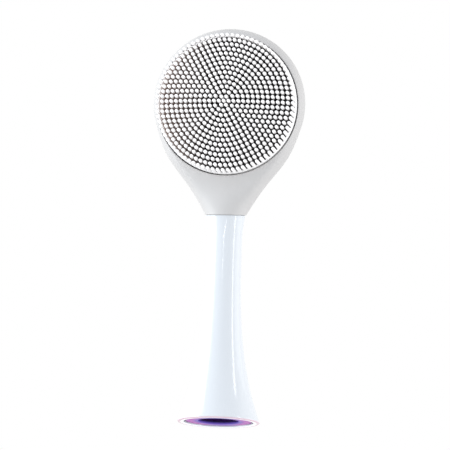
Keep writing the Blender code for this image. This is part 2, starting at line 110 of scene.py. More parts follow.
class MeshMaker:
    """Collects loops of points and turns them into one smooth-shaded mesh."""

    def __init__(self, name: str) -> None:
        """Start an empty shape for the piece of that name."""
        self.name = name
        self.shape = bmesh.new()

    def loop(self, points: Sequence[Point]) -> list[bmesh.types.BMVert]:
        """Add one loop of corners and return them."""
        return [self.shape.verts.new(point) for point in points]

    def add(self, verts: Sequence[Point], faces: Sequence[tuple[int, ...]]) -> None:
        """Add many corners and faces at once, which is quick for repeated bodies."""
        mesh = bpy.data.meshes.new(self.name)
        mesh.from_pydata(verts, [], faces)
        self.shape.from_mesh(mesh)
        bpy.data.meshes.remove(mesh)

    def skin(self, loops: Sequence[Sequence[Point]]) -> None:
        """Skin neighbouring closed loops with quads; a loop of one point is a pole."""
        corners = [self.loop(points) for points in loops]
        for low, high in zip(corners, corners[1:]):
            count = max(len(low), len(high))
            for i in range(count):
                j = (i + 1) % count
                face = [low[i % len(low)], low[j % len(low)], high[j % len(high)], high[i % len(high)]]
                unique = list(dict.fromkeys(face))
                if len(unique) > 2:
                    self.shape.faces.new(unique)

    def turn(self, outline: Outline, segments: int) -> None:
        """Turn a closed (radius, height) outline about Z.

        Args:
            outline: Points of the outline; its run along the axis is left out.
            segments: Number of segments round the axis.
        """
        turns = [2.0 * math.pi * i / segments for i in range(segments)]
        loops: list[Loop] = []
        for radius, height in outline:
            if radius <= 0.0:
                loops.append([(0.0, 0.0, height)])
            else:
                loops.append([(radius * math.cos(t), radius * math.sin(t), height) for t in turns])
        if outline[0][0] > 0.0:
            loops.append(loops[0])
        self.skin(loops)

    def finish(self, sharp_angle: float = 40.0) -> bpy.types.Object:
        """Weld the shape, shade it smooth and link it as an object.

        Args:
            sharp_angle: Edges bent by more than this many degrees stay sharp.

        Returns:
            The linked object.
        """
        bmesh.ops.remove_doubles(self.shape, verts=self.shape.verts, dist=WELD_DISTANCE)
        bmesh.ops.recalc_face_normals(self.shape, faces=self.shape.faces)
        mesh = bpy.data.meshes.new(self.name)
        self.shape.to_mesh(mesh)
        self.shape.free()
        mesh.shade_smooth()
        mesh.set_sharp_from_angle(angle=math.radians(sharp_angle))
        item = bpy.data.objects.new(self.name, mesh)
        bpy.context.scene.collection.objects.link(item)
        return item


# ------------------------------------------------------------------ shader tools
class Value:
    """One number socket of a shader; arithmetic on it adds Math nodes."""

    def __init__(self, graph: "ShaderGraph", socket: bpy.types.NodeSocket) -> None:
        """Wrap a socket of a graph."""
        self.graph = graph
        self.socket = socket

    def _math(self, operation: str, *operands: Any) -> "Value":
        """Return the result of a Math node on the operands."""
        made = self.graph.node("ShaderNodeMath", {"operation": operation}, dict(enumerate(operands)))
        return Value(self.graph, made.outputs[0])

    def __neg__(self) -> "Value":
        """Return 0 - self."""
        return self._math("SUBTRACT", 0.0, self)

    def __add__(self, other: Any) -> "Value":
        """Return self + other."""
        return self._math("ADD", self, other)

    __radd__ = __add__

    def __mul__(self, other: Any) -> "Value":
        """Return self * other."""
        return self._math("MULTIPLY", self, other)

    __rmul__ = __mul__

    def __sub__(self, other: Any) -> "Value":
        """Return self - other."""
        return self._math("SUBTRACT", self, other)

    def __rsub__(self, other: Any) -> "Value":
        """Return other - self."""
        return self._math("SUBTRACT", other, self)

    def __truediv__(self, other: Any) -> "Value":
        """Return self / other."""
        return self._math("DIVIDE", self, other)

    def __rtruediv__(self, other: Any) -> "Value":
        """Return other / self."""
        return self._math("DIVIDE", other, self)

    def __pow__(self, other: Any) -> "Value":
        """Return self to the power of other."""
        return self._math("POWER", self, other)

    def root(self) -> "Value":
        """Return the square root."""
        return self._math("SQRT", self)

    def step(self, low: float, high: float) -> "Value":
        """Return a smooth step from 0 at low to 1 at high."""
        node = self.graph.node(
            "ShaderNodeMapRange",
            {"interpolation_type": "SMOOTHSTEP"},
            {"Value": self, "From Min": low, "From Max": high, "To Min": 0.0, "To Max": 1.0},
        )
        return Value(self.graph, node.outputs["Result"])


class ShaderGraph:
    """The node tree of one material or world, with short ways to add nodes."""

    def __init__(self, tree: bpy.types.NodeTree) -> None:
        """Work on that tree."""
        self.tree = tree

    def node(self, kind: str, settings: dict[str, Any], inputs: dict[Any, Any]) -> bpy.types.Node:
        """Add a node.

        Args:
            kind: Blender's name for the node's type.
            settings: Properties of the node, set first.
            inputs: Values or sockets by input name or number.

        Returns:
            The new node.
        """
        made = self.tree.nodes.new(kind)
        for name, setting in settings.items():
            setattr(made, name, setting)
        for name, given in inputs.items():
            self.feed(made.inputs[name], given)
        return made

    def feed(self, socket: bpy.types.NodeSocket, given: Any) -> None:
        """Link a socket or a Value to an input, or set the input's own value."""
        if isinstance(given, Value):
            given = given.socket
        if isinstance(given, bpy.types.NodeSocket):
            self.tree.links.new(given, socket)
        elif isinstance(given, tuple) and socket.type == "RGBA":
            socket.default_value = (*given, 1.0)
        else:
            socket.default_value = given

    def place(self) -> bpy.types.NodeSocket:
        """Return the object's own coordinates, in metres."""
        return self.node("ShaderNodeTexCoord", {}, {}).outputs["Object"]

    def axes(self, vector: bpy.types.NodeSocket) -> tuple[Value, Value, Value]:
        """Split a vector into its three values."""
        split = self.node("ShaderNodeSeparateXYZ", {}, {0: vector})
        return tuple(Value(self, socket) for socket in split.outputs)

    def noise(self, size: float, detail: float = 2.0, stretch: Point = (1.0, 1.0, 1.0)) -> Value:
        """Return noise between 0 and 1.

        Args:
            size: Width of one blotch, in metres.
            detail: Levels of finer noise added.
            stretch: How much wider the blotches are along each axis.

        Returns:
            The noise value.
        """
        scaled = self.node(
            "ShaderNodeVectorMath",
            {"operation": "DIVIDE"},
            {0: self.place(), 1: tuple(size * value for value in stretch)},
        )
        inputs = {"Vector": scaled.outputs[0], "Scale": 1.0, "Detail": detail}
        return Value(self, self.node("ShaderNodeTexNoise", {}, inputs).outputs["Fac"])

    def mix(self, share: Any, first: Any, second: Any) -> bpy.types.NodeSocket:
        """Return first turned into second by share."""
        made = self.node("ShaderNodeMix", {"data_type": "RGBA"}, {0: share, 6: first, 7: second})
        return made.outputs[2]

    def bump(self, height: Value, depth: float) -> bpy.types.NodeSocket:
        """Return a normal from a height between 0 and 1, depth metres deep."""
        made = self.node("ShaderNodeBump", {}, {"Height": height, "Distance": depth, "Strength": 1.0})
        return made.outputs["Normal"]


# ------------------------------------------------------------------ finishes
@dataclass(frozen=True)
class Finish:
    """A finish of one of the object's materials, taken from a slot of its record."""

    slot: str
    colour: Colour
    roughness: float
    label: str = ""

    def material(self) -> bpy.types.Material:
        """Return the finish's material, made on first use."""
        name = f"{self.slot}{self.label}_finish"
        found = bpy.data.materials.get(name)
        if found:
            return found
        made = bpy.data.materials.new(name)
        made.use_nodes = True
        graph = ShaderGraph(made.node_tree)
        shader = made.node_tree.nodes["Principled BSDF"]
        shader.inputs["Roughness"].default_value = self.roughness
        self.shade(graph, shader)
        return made

    def shade(self, graph: ShaderGraph, shader: bpy.types.Node) -> None:
        """Wire the shader; each finish has its own way."""
        shader.inputs["Base Color"].default_value = (*self.colour, 1.0)

    def dress(self, item: bpy.types.Object) -> None:
        """Put the finish on a piece."""
        item.data.materials.clear()
        item.data.materials.append(self.material())


@dataclass(frozen=True)
class PolishedShell(Finish):
    """Polished white moulding, pink at its thin rim, with painted white light on the rim's underside and
    painted shade inside its hollow.

    A band holds the two places between which a smooth step runs.
    """

    rim_tint: Colour = (0.78, 0.47, 0.58)
    rim_radius: float = 9.25 * MM
    rim_height: float = 0.3 * MM
    # Strength of the painted white light that the rim's underside gives off.
    rim_painted_glow: float = 0.3
    rim_low: float = 0.05 * MM
    rim_inset: Band = (1.0 * MM, 0.6 * MM)
    rim_share: float = 0.8
    rim_painted_light: Colour = (1.0, 0.99, 1.0)
    # Painted shade: the hollow inside the neck is darkened towards this dark indigo, by this share.
    hollow_painted_shade: Colour = (0.05, 0.035, 0.16)
    hollow_shade_share: float = 0.9
    hollow_depth: Band = (-1.0 * MM, -0.6 * MM)
    hollow_mouth: Band = (1.6 * MM, 2.4 * MM)
    hollow_end: Band = (25.0 * MM, 30.0 * MM)
    waist_z: float = 41.65 * MM
    waist_radius: float = 3.855 * MM
    flare_power: float = 3.0
    flow_size: float = 9.0 * MM
    haze_size: float = 1.6 * MM
    haze_share: float = 0.05
    wave_size: float = 5.0 * MM
    wave_depth: float = 0.01 * MM
    ior: float = 1.53

    def shade(self, graph: ShaderGraph, shader: bpy.types.Node) -> None:
        """Wire colour, a trace of mould flow, the rim's tint and painted light, painted shade in the
        hollow, and fine haze.
        """
        across, back, height = graph.axes(graph.place())
        distance = (across * across + back * back).root()
        flow = graph.noise(self.flow_size, 1.0, (1.0, 1.0, 4.0)).step(0.35, 0.65)
        body = graph.mix(flow * 0.5, self.colour, darker(self.colour, 0.985))
        # Painted shade: inside the wall, from just above the mouth to 25-30 mm up, the hollow is darkened
        # to dark indigo.
        flare = (1.0 - height / self.waist_z) ** self.flare_power
        outside = flare * (self.rim_radius - self.waist_radius) + self.waist_radius
        inside = 1.0 - (distance - outside).step(*self.hollow_depth)
        hollow = inside * height.step(*self.hollow_mouth) * (1.0 - height.step(*self.hollow_end))
        body = graph.mix(hollow * self.hollow_shade_share, body, self.hollow_painted_shade)
        outermost = distance.step(*(self.rim_radius - inset for inset in self.rim_inset))
        low = 1.0 - height.step(self.rim_low, self.rim_height)
        rim = low * outermost * self.rim_share
        graph.feed(shader.inputs["Base Color"], graph.mix(rim, body, self.rim_tint))
        # Painted light: the rim's underside, inside its pink band, gives off white light.
        rim_painted_light = graph.mix(outermost, self.rim_painted_light, BLACK)
        graph.feed(shader.inputs["Emission Color"], graph.mix(low, BLACK, rim_painted_light))
        shader.inputs["Emission Strength"].default_value = self.rim_painted_glow
        haze = graph.noise(self.haze_size, 3.0)
        graph.feed(shader.inputs["Roughness"], self.roughness + haze * self.haze_share)
        wave = graph.noise(self.wave_size, 1.0)
        graph.feed(shader.inputs["Normal"], graph.bump(wave, self.wave_depth))
        shader.inputs["IOR"].default_value = self.ior


@dataclass(frozen=True)
class TintedRing(Finish):
    """Violet ring, bluer towards its hole, bluer in the middle as a painted pearlescent sheen, with painted
    shade on its inner walls and a dark edge.
    """

    hole_colour: Colour = (0.13, 0.07, 0.52)
    edge_colour: Colour = (0.13, 0.01, 0.16)
    # Painted shade colour for the inner walls.
    deep_painted_shade: Colour = (0.004, 0.003, 0.09)
    wall_radius: float = 6.4 * MM
    hole_radius: float = 4.57 * MM
    outer_radius: float = 7.5 * MM
    tint_inset: float = 1.2 * MM
    # Painted pearlescent sheen: share of the side colour kept in the front and back.
    middle_painted_sheen: float = 0.3
    aside_band: Band = (1.5 * MM, 5.0 * MM)
    edge_inset: Band = (0.5 * MM, 0.15 * MM)
    wall_blend: float = 0.3 * MM
    deep_band: Band = (0.45 * MM, 0.85 * MM)
    fleck_colour: Colour = (0.75, 0.45, 0.85)
    fleck_size: float = 0.7 * MM
    fleck_share: float = 0.12
    gloss_size: float = 0.5 * MM
    gloss_share: float = 0.08
    specular: float = 0.12

    def shade(self, graph: ShaderGraph, shader: bpy.types.Node) -> None:
        """Wire the tint by place with its painted sheen and painted shade, pale flecks and a slightly
        uneven gloss.
        """
        across, back, height = graph.axes(graph.place())
        distance = (across * across + back * back).root()
        # Painted sheen: the front and back stay bluer than the sides, a pearlescent shift fixed on the
        # ring.
        aside = (across * across).root().step(*self.aside_band)
        side_share = self.middle_painted_sheen + aside * (1.0 - self.middle_painted_sheen)
        out = distance.step(self.hole_radius, self.outer_radius - self.tint_inset) * side_share
        edge = distance.step(*(self.outer_radius - inset for inset in self.edge_inset))
        tint = graph.mix(edge, graph.mix(out, self.hole_colour, self.colour), self.edge_colour)
        # Painted shade: inside the wall, from the web's top up, the ring is darkened to near black.
        inside = 1.0 - distance.step(self.wall_radius - self.wall_blend, self.wall_radius)
        tint = graph.mix(height.step(*self.deep_band) * inside, tint, self.deep_painted_shade)
        fleck = graph.noise(self.fleck_size, 2.0)
        flecked = graph.mix(fleck * self.fleck_share, tint, self.fleck_colour)
        graph.feed(shader.inputs["Base Color"], flecked)
        gloss = graph.noise(self.gloss_size)
        graph.feed(shader.inputs["Roughness"], self.roughness + gloss * self.gloss_share)
        shader.inputs["Specular IOR Level"].default_value = self.specular


@dataclass(frozen=True)
class SatinCover(Finish):
    """Satin silicone with a soft-touch grain and faint handling marks."""

    grain: float = 0.09 * MM
    grain_depth: float = 0.004 * MM
    mottle_size: float = 6.0 * MM
    touch_size: float = 3.0 * MM
    touch_share: float = 0.1
    sheen: float = 0.03
    sheen_roughness: float = 0.4

    def shade(self, graph: ShaderGraph, shader: bpy.types.Node) -> None:
        """Wire mottled grey, uneven satin and a fine grain."""
        mottle = graph.noise(self.mottle_size, 2.0).step(0.3, 0.7)
        graph.feed(
            shader.inputs["Base Color"],
            graph.mix(mottle, self.colour, darker(self.colour, 0.975)),
        )
        touch = graph.noise(self.touch_size, 3.0)
        graph.feed(shader.inputs["Roughness"], self.roughness + touch * self.touch_share)
        grain = graph.bump(graph.noise(self.grain, 2.0), self.grain_depth)
        graph.feed(shader.inputs["Normal"], grain)
        shader.inputs["Sheen Weight"].default_value = self.sheen
        shader.inputs["Sheen Roughness"].default_value = self.sheen_roughness
        shader.inputs["IOR"].default_value = SILICONE_IOR


@dataclass(frozen=True)
class BristleSilicone(Finish):
    """Soft white silicone with painted shade down between the bristles but not round the outer ring,
    shining faintly with painted light.

    The roots carry a painted light towards -X, and the painted shade band is in shares of a bristle's
    length.
    """

    # Painted shade colour at the roots, then painted light on the roots towards -X.
    root_painted_shade: Colour = (0.02, 0.018, 0.018)
    root_painted_light: Colour = (0.36, 0.29, 0.26)
    pad_z: float = 70.95 * MM
    face_depth: float = 4.0 * MM
    dome: float = 2.2 * MM
    field_radius: float = 15.4 * MM
    length: float = 3.9 * MM
    outer_ring: float = 14.65 * MM
    outer_blend: float = 0.15 * MM
    painted_light_band: Band = (2.0 * MM, 15.0 * MM)
    shade_band: Band = (0.42, 0.7)
    # Strength of the painted light that the silicone gives off.
    painted_glow: float = 0.12
    grain: float = 0.3 * MM
    grain_share: float = 0.1

    def shade(self, graph: ShaderGraph, shader: bpy.types.Node) -> None:
        """Wire the painted shade from root to tip, painted light on the -X roots and over the tips, and a
        fine grain.
        """
        across, depth, height = graph.axes(graph.place())
        up = height - self.pad_z
        spread = (across * across + up * up) / (self.field_radius ** 2)
        rise = -depth - self.face_depth - (1.0 - spread) * self.dome
        distance = (across * across + up * up).root()
        # Painted shade: each bristle is dark from its root up through the shade band, and the outer ring is
        # left white.
        outer = distance.step(self.outer_ring, self.outer_ring + self.outer_blend)
        tip = (rise / self.length).step(*self.shade_band)
        share = 1.0 - (1.0 - tip) * (1.0 - outer)
        grain = graph.noise(self.grain, 2.0)
        tone = graph.mix(grain * 0.15, self.colour, darker(self.colour, 0.9))
        # Painted light: the roots turn lighter and warmer towards -X, the side of the left softbox.
        root = graph.mix((-across).step(*self.painted_light_band), self.root_painted_shade, self.root_painted_light)
        graph.feed(shader.inputs["Base Color"], graph.mix(share, root, tone))
        # Painted light: the tips give off their own white colour as light.
        graph.feed(shader.inputs["Emission Color"], graph.mix(share, root, self.colour))
        shader.inputs["Emission Strength"].default_value = self.painted_glow
        graph.feed(shader.inputs["Roughness"], self.roughness + grain * self.grain_share)
        shader.inputs["IOR"].default_value = SILICONE_IOR


@dataclass(frozen=True)
class MouldedPlastic(Finish):
    """Plain moulded plastic with an eroded mould surface."""

    grain: float = 0.15 * MM
    grain_depth: float = 0.006 * MM
    grain_share: float = 0.12
    blotch_size: float = 2.5 * MM

    def shade(self, graph: ShaderGraph, shader: bpy.types.Node) -> None:
        """Wire a slightly uneven colour and the mould's fine texture."""
        blotch = graph.noise(self.blotch_size, 2.0)
        graph.feed(
            shader.inputs["Base Color"],
            graph.mix(blotch * 0.3, self.colour, darker(self.colour, 0.85)),
        )
        grain = graph.noise(self.grain, 3.0)
        graph.feed(shader.inputs["Roughness"], self.roughness + grain * self.grain_share)
        graph.feed(shader.inputs["Normal"], graph.bump(grain, self.grain_depth))


@dataclass(frozen=True)
class RolledSteel(Finish):
    """Stainless spring strip with rolling lines along its length."""

    line: float = 0.06 * MM
    line_depth: float = 0.003 * MM
    line_share: float = 0.18

    def shade(self, graph: ShaderGraph, shader: bpy.types.Node) -> None:
        """Wire the metal with fine lines that run up the strip."""
        lines = graph.noise(self.line, 2.0, (1.0, 1.0, 30.0))
        graph.feed(
            shader.inputs["Base Color"],
            graph.mix(lines, self.colour, darker(self.colour, 0.8)),
        )
        graph.feed(shader.inputs["Roughness"], self.roughness + lines * self.line_share)
        graph.feed(shader.inputs["Normal"], graph.bump(lines, self.line_depth))
        shader.inputs["Metallic"].default_value = 1.0


WHITE_SHELL = PolishedShell("gloss_white", (0.745, 0.775, 0.81), 0.08)
VIOLET = TintedRing("violet_ring", (0.50, 0.07, 0.50), 0.3)
SHADED_ACETAL = MouldedPlastic("natural_acetal", (0.025, 0.015, 0.15), 0.4)
CLIP_STEEL = RolledSteel("spring_steel", (0.60, 0.60, 0.62), 0.22)
SEAL_RUBBER = MouldedPlastic("seal_rubber", (0.035, 0.035, 0.04), 0.5)
GREY_SILICONE = SatinCover("satin_silicone", (0.605, 0.592, 0.583), 0.42)
CORE_PLASTIC = MouldedPlastic("core_plastic", (0.70, 0.71, 0.73), 0.4)
WHITE_SILICONE = BristleSilicone("bristle_silicone", (0.955, 0.94, 0.935), 0.38)
PAD_SILICONE = BristleSilicone(
    "bristle_silicone", (0.93, 0.92, 0.92), 0.42, "_pad", outer_ring=15.25 * MM
)


# ------------------------------------------------------------------ sub-assemblies
class Body(Enum):
    """The bodies that pieces ride on."""

    NECK = "neck"
    RING = "ring"
    HEAD = "head"


def place_piece(item: bpy.types.Object, body: Body, finish: Finish, *nodes: str) -> None:
    """Dress a new piece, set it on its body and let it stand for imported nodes.

    Args:
        item: The new piece, in place.
        body: The body that it rides on.
        finish: Its finish.
        nodes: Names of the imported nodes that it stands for.
    """
    finish.dress(item)
    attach(item, body.value)
    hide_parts(*nodes)
    LOG.info("%s: %d faces, rides on %s", item.name, len(item.data.polygons), body.value)


def dress_node(name: str, finish: Finish) -> None:
    """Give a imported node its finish."""
    finish.dress(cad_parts[name])
    LOG.info("%s: packed mesh, %s", name, finish.slot)


@dataclass
class Neck:
    """Flared neck with its stem, and the small pieces inside it."""

    seam_z: float = 46.65 * MM
    seam_tilt: float = math.radians(8.0)
    waist_radius: float = 3.855 * MM
    top_length: float = 5.0 * MM
    top_flare: float = 0.55 * MM
    top_power: float = 1.5
    flare_power: float = 3.0
    wall: float = 1.25 * MM
    rim_width: float = 1.45 * MM
    rim_fillet: float = 0.25 * MM
    seat_z: float = 2.4 * MM
    chamber_radius: float = 3.384 * MM
    chamber_z: float = 19.8 * MM
    core_radius: float = 1.6 * MM
    core_end_wall: float = 2.6 * MM
    spigot_radius: float = 1.9 * MM
    groove_radius: float = 1.2 * MM
    groove_half: float = 0.5 * MM
    seal_rise: float = 4.2 * MM
    seam_gap: float = 0.06 * MM
    edge_fillet: float = 0.1 * MM
    stem_chamfer: float = 0.3 * MM
    skirt_start: float = 0.6 * MM
    mouth_fillet: float = 0.15 * MM
    skirt_rows: int = 70
    top_rows: int = 14
    chamber_rows: int = 30
    segments: int = 160
    sharp_angle: float = 50.0

    def __post_init__(self) -> None:
        """Work out the base radius and the stem's top from the frame."""
        _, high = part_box("neck_shell")
        self.spigot_top_z = high.z
        self.waist_z = self.seam_z - self.top_length
        share = (1.0 - self.rim_fillet / self.waist_z) ** self.flare_power
        self.base_radius = self.waist_radius + (high.x - self.waist_radius) / share

    @property
    def top_radius(self) -> float:
        """Radius of the neck at the seam."""
        return self.waist_radius + self.top_flare

    def radius(self, z: float) -> float:
        """Return the neck's outer radius at a height."""
        if z <= self.waist_z:
            flare = (1.0 - z / self.waist_z) ** self.flare_power
            return self.waist_radius + (self.base_radius - self.waist_radius) * flare
        return self.waist_radius + self.top_flare * ((z - self.waist_z) / self.top_length) ** self.top_power

    def outline(self) -> Outline:
        """Return the closed outline: rim, outside, shoulder, stem, hollow and mouth."""
        fillet, edge = self.rim_fillet, self.edge_fillet
        shoulder_z = self.seam_z - self.seam_gap / 2
        points = arc((self.radius(fillet) - fillet, fillet), fillet, -90.0, 0.0, 7)
        heights = spaced(self.skirt_start, self.waist_z, self.skirt_rows)
        heights += spaced(self.waist_z, shoulder_z - edge, self.top_rows)[1:]
        points += [(self.radius(z), z) for z in heights]
        points += arc((self.radius(shoulder_z) - edge, shoulder_z - edge), edge, 15.0, 90.0, 6)
        seal_z = self.seam_z + self.seal_rise
        chamfer = self.stem_chamfer
        points += [
            (self.spigot_radius, shoulder_z),
            (self.spigot_radius, seal_z - self.groove_half),
            (self.groove_radius, seal_z - self.groove_half),
            (self.groove_radius, seal_z + self.groove_half),
            (self.spigot_radius, seal_z + self.groove_half),
        ]
        points += arc(
            (self.spigot_radius - chamfer, self.spigot_top_z - chamfer), chamfer, 0.0, 90.0, 5
        )
        points += [(0.0, self.spigot_top_z)]
        core_top = self.seam_z - self.core_end_wall
        points += [(0.0, core_top), (self.core_radius, core_top - self.core_radius)]
        points += [(self.core_radius, self.chamber_z), (self.chamber_radius, self.chamber_z)]
        heights = spaced(self.chamber_z, self.seat_z, self.chamber_rows)[1:]
        points += [(self.radius(z) - self.wall, z) for z in heights]
        mouth = self.base_radius - self.rim_width
        points += [(mouth, self.seat_z)]
        points += arc((mouth + self.mouth_fillet, self.mouth_fillet), self.mouth_fillet, 180.0, 270.0, 4)
        return points

    def tilt_seam(self, mesh: bpy.types.Mesh) -> None:
        """Shear the top of the neck so that its shoulder lies in the tilted seam."""
        for vert in mesh.vertices:
            outside = math.hypot(vert.co.x, vert.co.y) >= self.spigot_radius - 0.001 * MM
            if outside and self.waist_z < vert.co.z <= self.seam_z:
                share = (vert.co.z - self.waist_z) / self.top_length
                vert.co.z += vert.co.y * math.tan(self.seam_tilt) * share * share

    def build(self) -> None:
        """Make and dress the neck, and dress the pieces packed inside it."""
        maker = MeshMaker("flared_neck")
        maker.turn(self.outline(), self.segments)
        shell = maker.finish(self.sharp_angle)
        self.tilt_seam(shell.data)
        place_piece(shell, Body.NECK, WHITE_SHELL, "neck_shell")
        dress_node("shaft_socket", SHADED_ACETAL)
        dress_node("stem_seal", SEAL_RUBBER)
        for name in ("clip_saddle", "clip_arm_left", "clip_arm_right"):
            dress_node(name, CLIP_STEEL)


@dataclass
class ColourRing:
    """Violet ring snapped into the neck's mouth."""

    hole_radius: float = 4.57 * MM
    web: float = 0.7 * MM
    wall: float = 1.1 * MM
    edge: float = 0.2 * MM
    segments: int = 160
    sharp_angle: float = 50.0

    def outline(self) -> Outline:
        """Return the closed outline: rounded web and upright wall."""
        low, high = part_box("colour_ring")
        outer, edge = high.x, self.edge
        bottom, top, step = low.z, high.z, low.z + self.web
        points = arc((self.hole_radius + edge, bottom + edge), edge, 180.0, 270.0, 5)
        points += arc((outer - edge, bottom + edge), edge, -90.0, 0.0, 5)
        points += arc((outer - edge, top - edge), edge, 0.0, 90.0, 4)
        points += arc((outer - self.wall + edge, top - edge), edge, 90.0, 180.0, 4)
        points += [(outer - self.wall, step)]
        points += arc((self.hole_radius + edge, step - edge), edge, 90.0, 180.0, 4)
        return points

    def build(self) -> None:
        """Make and dress the ring."""
        maker = MeshMaker("violet_ring")
        maker.turn(self.outline(), self.segments)
        place_piece(maker.finish(self.sharp_angle), Body.RING, VIOLET, "colour_ring")


@dataclass
class HeadCover:
    """Satin silicone cover: a cone that flows into a round dish, open in front."""

    neck: Neck
    hem_overhang: float = 0.16 * MM
    cone_length: float = 7.95 * MM
    cone_angle: float = math.radians(28.7)
    cone_handle: float = 13.2 * MM
    circle_handle: float = 11.4 * MM
    circle_start: float = math.radians(16.0)
    front_depth: float = 10.5 * MM
    face_depth: float = 4.0 * MM
    flatten_length: float = 9.3 * MM
    face_softness: float = 6.0
    wall: float = 1.0 * MM
    floor_rise: float = 2.85 * MM
    rim: float = 1.1 * MM
    lip: float = 0.3 * MM
    seam_gap: float = 0.06 * MM
    bore_radius: float = 2.2 * MM
    hem_columns: int = 48
    cone_columns: int = 40
    circle_columns: int = 150
    front_rows: int = 30
    back_rows: int = 40
    inner_front_rows: int = 4
    inner_back_rows: int = 16
    lip_rows: int = 6
    lip_turn: float = 75.0
    cone_samples: int = 400
    halvings: int = 40
    spread_power: float = 0.8
    sharp_angle: float = 45.0

    def __post_init__(self) -> None:
        """Work out the head's place and radius from the frame."""
        _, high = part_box("head_cover")
        self.head_radius = high.x
        self.head_z = high.z - high.x
        self.rear_depth = high.y
        pad_low, pad_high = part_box("bristle_pad")
        self.pad_z = (pad_low.z + pad_high.z) / 2
        self.hem_radius = self.neck.top_radius + self.hem_overhang
        self.opening_radius = self.head_radius - self.rim
        self.hem_z = self.neck.seam_z + self.seam_gap / 2

    def cone_point(self, inset: float, t: float) -> tuple[float, float]:
        """Return a point of the cone's outline, from its hem at 0 to the circle at 1."""
        radius = self.head_radius - inset
        turn = self.circle_start
        start = Vector((self.hem_radius - inset, self.hem_z))
        end = Vector((radius * math.cos(turn), self.head_z - radius * math.sin(turn)))
        rise = Vector((math.sin(self.cone_angle), math.cos(self.cone_angle))) * self.cone_handle
        fall = Vector((math.sin(turn), math.cos(turn))) * self.circle_handle
        a, b = start + rise, end - fall
        left = 1 - t
        point = start * left ** 3 + a * 3 * t * left ** 2 + b * 3 * t * t * left + end * t ** 3
        return point.x, point.y

    def half_width(self, inset: float) -> Callable[[float], float]:
        """Return the function that gives the head's half-width at a height."""
        samples = [self.cone_point(inset, t) for t in spaced(0.0, 1.0, self.cone_samples)]
        heights = [z for _, z in samples]
        radius = self.head_radius - inset

        def width(z: float) -> float:
            """Return the half-width at one height."""
            if z >= heights[-1]:
                return math.sqrt(max(radius * radius - (z - self.head_z) ** 2, 0.0))
            i = min(max(bisect_left(heights, z), 1), len(heights) - 1)
            share = (z - heights[i - 1]) / (heights[i] - heights[i - 1])
            return samples[i - 1][0] + (samples[i][0] - samples[i - 1][0]) * min(max(share, 0.0), 1.0)

        return width

    def soft_min(self, first: float, second: float) -> float:
        """Return the smaller of two depths, rounded where they meet."""
        if min(first, second) <= 1e-9:
            return min(first, second)
        power = -self.face_softness
        return (first ** power + second ** power) ** (1.0 / power)

    def depths(self, inset: float) -> Callable[[float, float], tuple[float, float]]:
        """Return the function that gives the front and rear depth at (x, z)."""
        width = self.half_width(inset)
        radius = self.head_radius - inset
        hem = self.hem_radius - inset
        front_full, rear_full = self.front_depth - inset, self.rear_depth - inset

        def both(x: float, z: float) -> tuple[float, float]:
            """Return the depths in front of and behind the middle plane."""
            if z > self.head_z:
                lens = math.sqrt(max(radius * radius - x * x - (z - self.head_z) ** 2, 0.0)) / radius
                front, rear = front_full * lens, rear_full * lens
            else:
                half = width(z)
                across = math.sqrt(max(1.0 - (x / half) ** 2, 0.0))
                spread = min(max((half - hem) / (radius - hem), 0.0), 1.0) ** self.spread_power
                front = (hem + (front_full - hem) * spread) * across
                rear = (hem + (rear_full - hem) * spread) * across
            flat = smooth_step((z - self.neck.seam_z) / self.flatten_length)
            face = self.soft_min(front, self.face_depth - inset)
            if z > self.head_z:
                return face, rear
            return (1.0 - flat) * hem * across + flat * face, rear

        return both

    def border(self, inset: float, floor_z: float) -> Outline:
        """Return the head's border seen from the front: hem, side, circle and side.

        Args:
            inset: How far inside the outer skin it runs.
            floor_z: Height of the straight lower edge.

        Returns:
            Points in order, starting at the left end of the lower edge.
        """
        low, high = 0.0, 1.0
        for _ in range(self.halvings):
            middle = (low + high) / 2
            if self.cone_point(inset, middle)[1] < floor_z:
                low = middle
            else:
                high = middle
        half = self.cone_point(inset, low)[0]
        turns = spaced(math.pi, 0.0, self.hem_columns + 1)
        hem = [(half * math.cos(t), floor_z) for t in turns]
        side = [self.cone_point(inset, t) for t in spaced(low, 1.0, self.cone_columns + 1)[1:]]
        radius = self.head_radius - inset
        span = spaced(-self.circle_start, math.pi + self.circle_start, self.circle_columns + 1)[1:-1]
        circle = [(radius * math.cos(t), self.head_z + radius * math.sin(t)) for t in span]
        return hem + side + circle + [(-x, z) for x, z in reversed(side)]

    def skin_loops(
        self, inset: float, floor_z: float, start: float, rows: int, front: bool
    ) -> list[Loop]:
        """Return loops over the front or the rear skin, from a circle out to the border.

        Args:
            inset: How far inside the outer skin the loops lie.
            floor_z: Height of the straight lower edge.
            start: Radius of the first loop, or 0 for a pole.
            rows: Number of loops.
            front: Whether the loops lie on the front skin.

        Returns:
            The loops, from the inside out.
        """
        depths = self.depths(inset)
        loops: list[Loop] = []
        for row in range(rows):
            reach = math.sin(math.pi / 2 * row / (rows - 1))
            loop: Loop = []
            for x_end, z_end in self.border(inset, floor_z):
                away = math.hypot(x_end, z_end - self.pad_z)
                share = start / away + (1.0 - start / away) * reach
                x = x_end * share
                z = self.pad_z + (z_end - self.pad_z) * share
                ahead, behind = depths(x, z)
                loop.append((x, -ahead if front else behind, z))
            loops.append(loop)
        if start == 0.0:
            loops[0] = loops[0][:1]
        return loops

    def tilt_hem(self, point: Point) -> Point:
        """Shear the foot of the cone so that its hem lies in the tilted seam."""
        x, y, z = point
        fade = max(0.0, 1.0 - (z - self.neck.seam_z) / (self.cone_length / 2)) ** 2
        return x, y, z + y * math.tan(self.neck.seam_tilt) * fade

